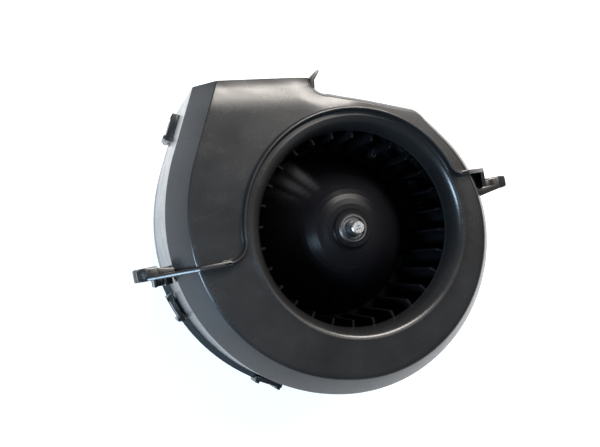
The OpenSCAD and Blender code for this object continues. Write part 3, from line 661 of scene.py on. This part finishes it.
class Local:
    """Builds beveled solids in a turned frame: run along a heading, y to its left, z up."""

    def __init__(self, at, heading, low=0.0):
        self.at, self.u, self.v, self.low = at, unit(heading), unit(heading + 90), low
        self.parts, self.cuts = [], []

    def place(self, run, y, z):
        q = self.at + self.u * run + self.v * y
        return (q.x, q.y, z + self.low)

    def keep(self, bm, bevel, cut=False):
        bmesh.ops.remove_doubles(bm, verts=bm.verts, dist=1e-5)
        bmesh.ops.recalc_face_normals(bm, faces=bm.faces)
        if bevel:
            sharp = [e for e in bm.edges if len(e.link_faces) == 2 and e.calc_face_angle() > 0.6]
            bmesh.ops.bevel(bm, geom=sharp, offset=bevel, segments=2, profile=0.5,
                            affect="EDGES", clamp_overlap=True)
        mesh = bpy.data.meshes.new("part")
        bm.to_mesh(mesh)
        bm.free()
        (self.cuts if cut else self.parts).append(mesh)

    def extrude(self, near, far, bevel, cut=False):
        """Solid between two matching rings of placed points."""
        bm = bmesh.new()
        a = [bm.verts.new(p) for p in near]
        b = [bm.verts.new(p) for p in far]
        bm.faces.new(a)
        bm.faces.new(b[::-1])
        for i in range(len(a)):
            j = (i + 1) % len(a)
            bm.faces.new([a[i], a[j], b[j], b[i]])
        self.keep(bm, bevel, cut)

    def prism(self, points, y0, y1, bevel=0.4):
        """Outline in (run, z), thickness from y0 to y1."""
        near, far = ([self.place(r, y, z) for r, z in points] for y in (y0, y1))
        self.extrude(near, far, bevel)

    def flat(self, points, z0, z1, bevel=0.4):
        """Outline in (run, y), height from z0 to z1."""
        near, far = ([self.place(r, y, z) for r, y in points] for z in (z0, z1))
        self.extrude(near, far, bevel)

    def block(self, lo, hi, bevel=0.4):
        self.prism([(lo[0], lo[2]), (hi[0], lo[2]), (hi[0], hi[2]), (lo[0], hi[2])],
                   lo[1], hi[1], bevel)

    def drum(self, run, z, r, y0, y1, bevel=0.6, cut=False):
        """Round solid with its axis along y."""
        round_pts = [unit(360 * i / DRUM_STEPS) for i in range(DRUM_STEPS)]
        near, far = ([self.place(run + r * u.x, y, z + r * u.y) for u in round_pts]
                     for y in (y0, y1))
        self.extrude(near, far, 0 if cut else bevel, cut)

    def fuse(self, name, slot, sharp=34.0):
        """The parts joined and the cuts taken out, as a finished piece.

        The booleans can leave open edges and loose faces, which nothing here mends.
        """
        scene = bpy.context.scene.collection.objects
        objs = []
        for i, mesh in enumerate(self.parts + self.cuts):
            o = bpy.data.objects.new(f"tmp_{i}", mesh)
            scene.link(o)
            objs.append(o)
        base = objs[0]
        for i, o in enumerate(objs[1:], 1):
            mod = base.modifiers.new("b", "BOOLEAN")
            mod.operation = "UNION" if i < len(self.parts) else "DIFFERENCE"
            mod.solver = "EXACT"
            mod.object = o
        bpy.context.view_layer.update()
        dg = bpy.context.evaluated_depsgraph_get()
        bm = bmesh.new()
        bm.from_mesh(base.evaluated_get(dg).to_mesh())
        for o in objs:
            bpy.data.objects.remove(o)
        return piece(name, bm, slot, sharp=sharp)


def left_ear():
    """Long blade with a hooked underside, two gussets and a bored boss at its tip."""
    root, shoulder, web, tip = -1, 17, 29, 44.0
    shelf, gusset_y, slack = EAR_FOOT + 2, 5.6, 8
    boss_y = PLATE / 2 - BOSS_H
    ear = Local(LEFT_P, 180 + TILT)
    ear.prism([(root, RIB_TOP), (shoulder, RIB_TOP), (tip - slack, EAR_Z + EAR_SPAN),
               (tip, EAR_Z + BOSS_R), (tip, EAR_Z - BOSS_R), (tip - slack, EAR_FOOT),
               (web + 3, EAR_FOOT - slack), (web, EAR_FOOT - slack), (web, BAND_Z - 2),
               (shoulder, EAR_HOLD), (root, EAR_HOLD)], -PLATE / 2, PLATE / 2, 0.5)
    ear.drum(tip, EAR_Z, BOSS_R, boss_y, PLATE / 2, 0.9)
    ear.flat([(web - 3, -3.4), (tip, boss_y + 0.2), (tip, 0.1), (web - 3, 0.1)],
             EAR_Z - 6, EAR_Z + 6, 0.9)
    ear.block((tip - 7, boss_y + 0.3, EAR_Z + 3.6),
              (tip + 5.4, PLATE / 2 - 0.2, EAR_Z + BOSS_R - 0.1), 1.2)
    ear.block((web, -4.6, EAR_FOOT), (tip, 0, shelf))
    ear.block((web, 0, EAR_FOOT), (41, gusset_y, shelf))
    for run in (33, 39):
        ear.block((run, 0, EAR_FOOT), (run + 1.6, gusset_y, EAR_FOOT + 14), 0.3)
    ear.drum(tip, EAR_Z, BORE_R, -20, 20, cut=True)
    ear.fuse("ear_left_plate", "housing")


def right_ear():
    """Short plate that turns down, then a lower plate out to a bored boss."""
    root, inner, reach, drop, boss = -1, 14, 20.5, 10.0, 32.0
    plate_top = FACE_Z - 8
    boss_y = -drop - PLATE
    ear = Local(RIGHT_P, TILT)
    ear.prism([(root, RIB_TOP), (4, RIB_TOP), (reach, plate_top), (reach, EAR_FOOT),
               (inner, EAR_FOOT), (inner, BAND_Z), (6, EAR_HOLD), (root, EAR_HOLD)],
              -PLATE / 2, PLATE / 2, 0.5)
    ear.block((reach - PLATE, -drop, EAR_FOOT), (reach, 0.5, plate_top), 0.5)
    ear.block((inner, -drop, EAR_FOOT), (reach, 0, EAR_FOOT + PLATE))
    ear.flat([(inner, -drop - 6), (boss, boss_y), (boss, -drop), (inner, -drop)],
             EAR_FOOT, EAR_FOOT + 18, 0.5)
    ear.drum(boss, EAR_Z, BOSS_R, boss_y, boss_y + BOSS_H, 0.9)
    ear.block((boss - BOSS_R - 2, -drop - 0.5, EAR_Z - BOSS_R),
              (boss - BOSS_R + 2, -6.1, EAR_Z + BOSS_R))
    ear.block((boss - 7, boss_y + 0.3, EAR_Z + 3.6),
              (boss + 5.4, boss_y + BOSS_H - 0.2, EAR_Z + BOSS_R - 0.1), 1.2)
    ear.drum(boss, EAR_Z, BORE_R, -40, 20, cut=True)
    ear.fuse("ear_right_plate", "housing")


CLIP_W, CLIP_T, CLIP_UP, CLIP_DOWN, CLIP_GAP = 18.0, 3.4, 7.0, 11.0, 0.4
CLIP_POST, CLIP_BAR, CLIP_RIDGE = 3.5, 3, 1.2
TOP_A = TONGUE_C - unit(TOP_N) * TONGUE_R
CLIPS = [
    (SIDE_P + unit(SIDE_N - 90) * 24.5, SIDE_N),
    (C2 + unit(211) * R2, 211),
    (C2 + unit(251.5) * R2, 251.5),
    (C1 + unit(-38) * R1, -38),
    (TOP_A + unit(TOP_N - 90) * 26, TOP_N),
]


def clip_loop(index, at, normal):
    """Snap loop over the seam: top bar, two posts, closing bar, wall root, a ridge on each post."""
    clip = Local(at + unit(normal) * DRAFT, normal, SEAM_Z)
    w = CLIP_W / 2
    front = CLIP_GAP + CLIP_T
    clip.block((CLIP_GAP, -w, 0), (front, w, CLIP_UP), 0.6)
    for a, b in ((-w, -w + CLIP_POST), (w - CLIP_POST, w)):
        clip.block((CLIP_GAP, a, -CLIP_DOWN), (front, b, 1.5), 0.5)
    clip.block((CLIP_GAP, -w, -CLIP_DOWN), (front, w, -CLIP_DOWN + CLIP_BAR), 0.5)
    clip.block((-WALL / 2, -w, 1), (CLIP_GAP + 1, w, CLIP_UP), 0.4)
    for side in (-1, 1):
        mid = side * (w - 2)
        clip.block((front - 0.4, mid - CLIP_RIDGE, -CLIP_DOWN),
                   (front + 1.4, mid + CLIP_RIDGE, CLIP_UP), 0.4)
    clip.fuse(f"clip_loop_{index + 1}", "housing")


def outlet_leaf():
    """Small upright leaf on the duct wall's outer edge."""
    edge_y = OUTLET_MID.y
    tip_x, tip_y = TONGUE_X + 2, edge_y + 9.2
    leaf = Local(Vector((0, 0)), 0)
    leaf.flat([(TONGUE_X - WALL, edge_y - 6), (TONGUE_X, edge_y - 6),
               (TONGUE_X - 0.4, edge_y + 2.5), (tip_x + 0.2, tip_y - 1.6), (tip_x, tip_y),
               (tip_x - 1.6, tip_y - 1.2), (TONGUE_X - WALL - 0.8, edge_y + 3.4)],
              SEAM_Z + 6, FACE_Z - 6, 0.35)
    leaf.fuse("outlet_leaf", "housing")


left_ear()
right_ear()
for index, (at, normal) in enumerate(CLIPS):
    clip_loop(index, at, normal)
outlet_leaf()


# ---------------------------------------------------------------- floor and light
def plane(name, size, at, mat):
    bm = bmesh.new()
    bmesh.ops.create_grid(bm, x_segments=2, y_segments=2, size=size / 2)
    mesh = bpy.data.meshes.new(name)
    bm.to_mesh(mesh)
    bm.free()
    obj = bpy.data.objects.new(name, mesh)
    obj.location = at
    mesh.materials.append(mat)
    bpy.context.scene.collection.objects.link(obj)
    return obj


paper = Nodes("paper")
paper.link(
    paper.ramp(paper.noise(3.0, 2.0), [(0.3, (0.6, 0.6, 0.61)), (0.7, (0.64, 0.64, 0.65))]),
    paper.bsdf.inputs["Base Color"],
)
paper.set(Roughness=0.9, Emission_Color=(1.0, 1.0, 1.0, 1.0), Emission_Strength=0.58)
floor = plane("floor", 12.0, (0, 0, cad_box[0][2]), paper.mat)

CENTRE = Vector((-0.01, 0.0, 0.1))


def softbox(name, at, size, power, colour, aim=CENTRE, size_y=None):
    data = bpy.data.lights.new(name, "AREA")
    data.shape = "RECTANGLE"
    data.size = size
    data.size_y = size_y or size
    data.energy = power
    data.color = colour
    obj = bpy.data.objects.new(name, data)
    obj.location = at
    obj.rotation_euler = (aim - Vector(at)).to_track_quat("-Z", "Y").to_euler()
    bpy.context.scene.collection.objects.link(obj)
    return obj


softbox("top_light", (0.25, 0.95, 1.05), 0.8, 34.0, (1.0, 0.94, 0.87), size_y=0.45)
softbox("top_fill", (0.3, 0.58, 1.25), 0.9, 7.0, (1.0, 0.95, 0.9), size_y=0.5)
softbox("window", (-1.0, -0.46, 0.78), 0.32, 22.0, (0.55, 0.78, 1.0), size_y=0.4)
softbox("window_low", (-0.66, -0.54, 0.06), 0.4, 0.5, (0.35, 0.62, 1.0), size_y=0.3)
softbox("overhead", (-0.22, -0.12, 1.25), 0.12, 1.2, (0.5, 0.78, 1.0))

world = bpy.data.worlds.new("studio")
world.use_nodes = True
world.node_tree.nodes["Background"].inputs[0].default_value = (1.0, 1.0, 1.0, 1)
world.node_tree.nodes["Background"].inputs[1].default_value = 0.16
bpy.context.scene.world = world
bpy.context.scene.view_settings.view_transform = "Standard"

# ---------------------------------------------------------------- camera
# the photographed view: how far the camera stands left of and below the wheel axis
CAM_LEFT, CAM_BELOW = math.radians(14.5475), math.radians(3.6315)
CAM_AT = Vector((-0.148745, -0.027148, 0.560034))

cam_data = bpy.data.cameras.new("camera")
cam_data.lens = 48.0
cam_data.sensor_width = 36.0
cam_data.clip_start = 0.01
cam_data.clip_end = 50.0
camera = bpy.data.objects.new("camera", cam_data)
level = math.cos(CAM_BELOW)
back = Vector((-math.sin(CAM_LEFT) * level, -math.sin(CAM_BELOW), math.cos(CAM_LEFT) * level))
right = Vector((0, 1, 0)).cross(back).normalized()
matrix = Matrix((right, back.cross(right), back)).transposed().to_4x4()
matrix.translation = CAM_AT
camera.matrix_world = matrix
bpy.context.scene.collection.objects.link(camera)
bpy.context.scene.camera = camera
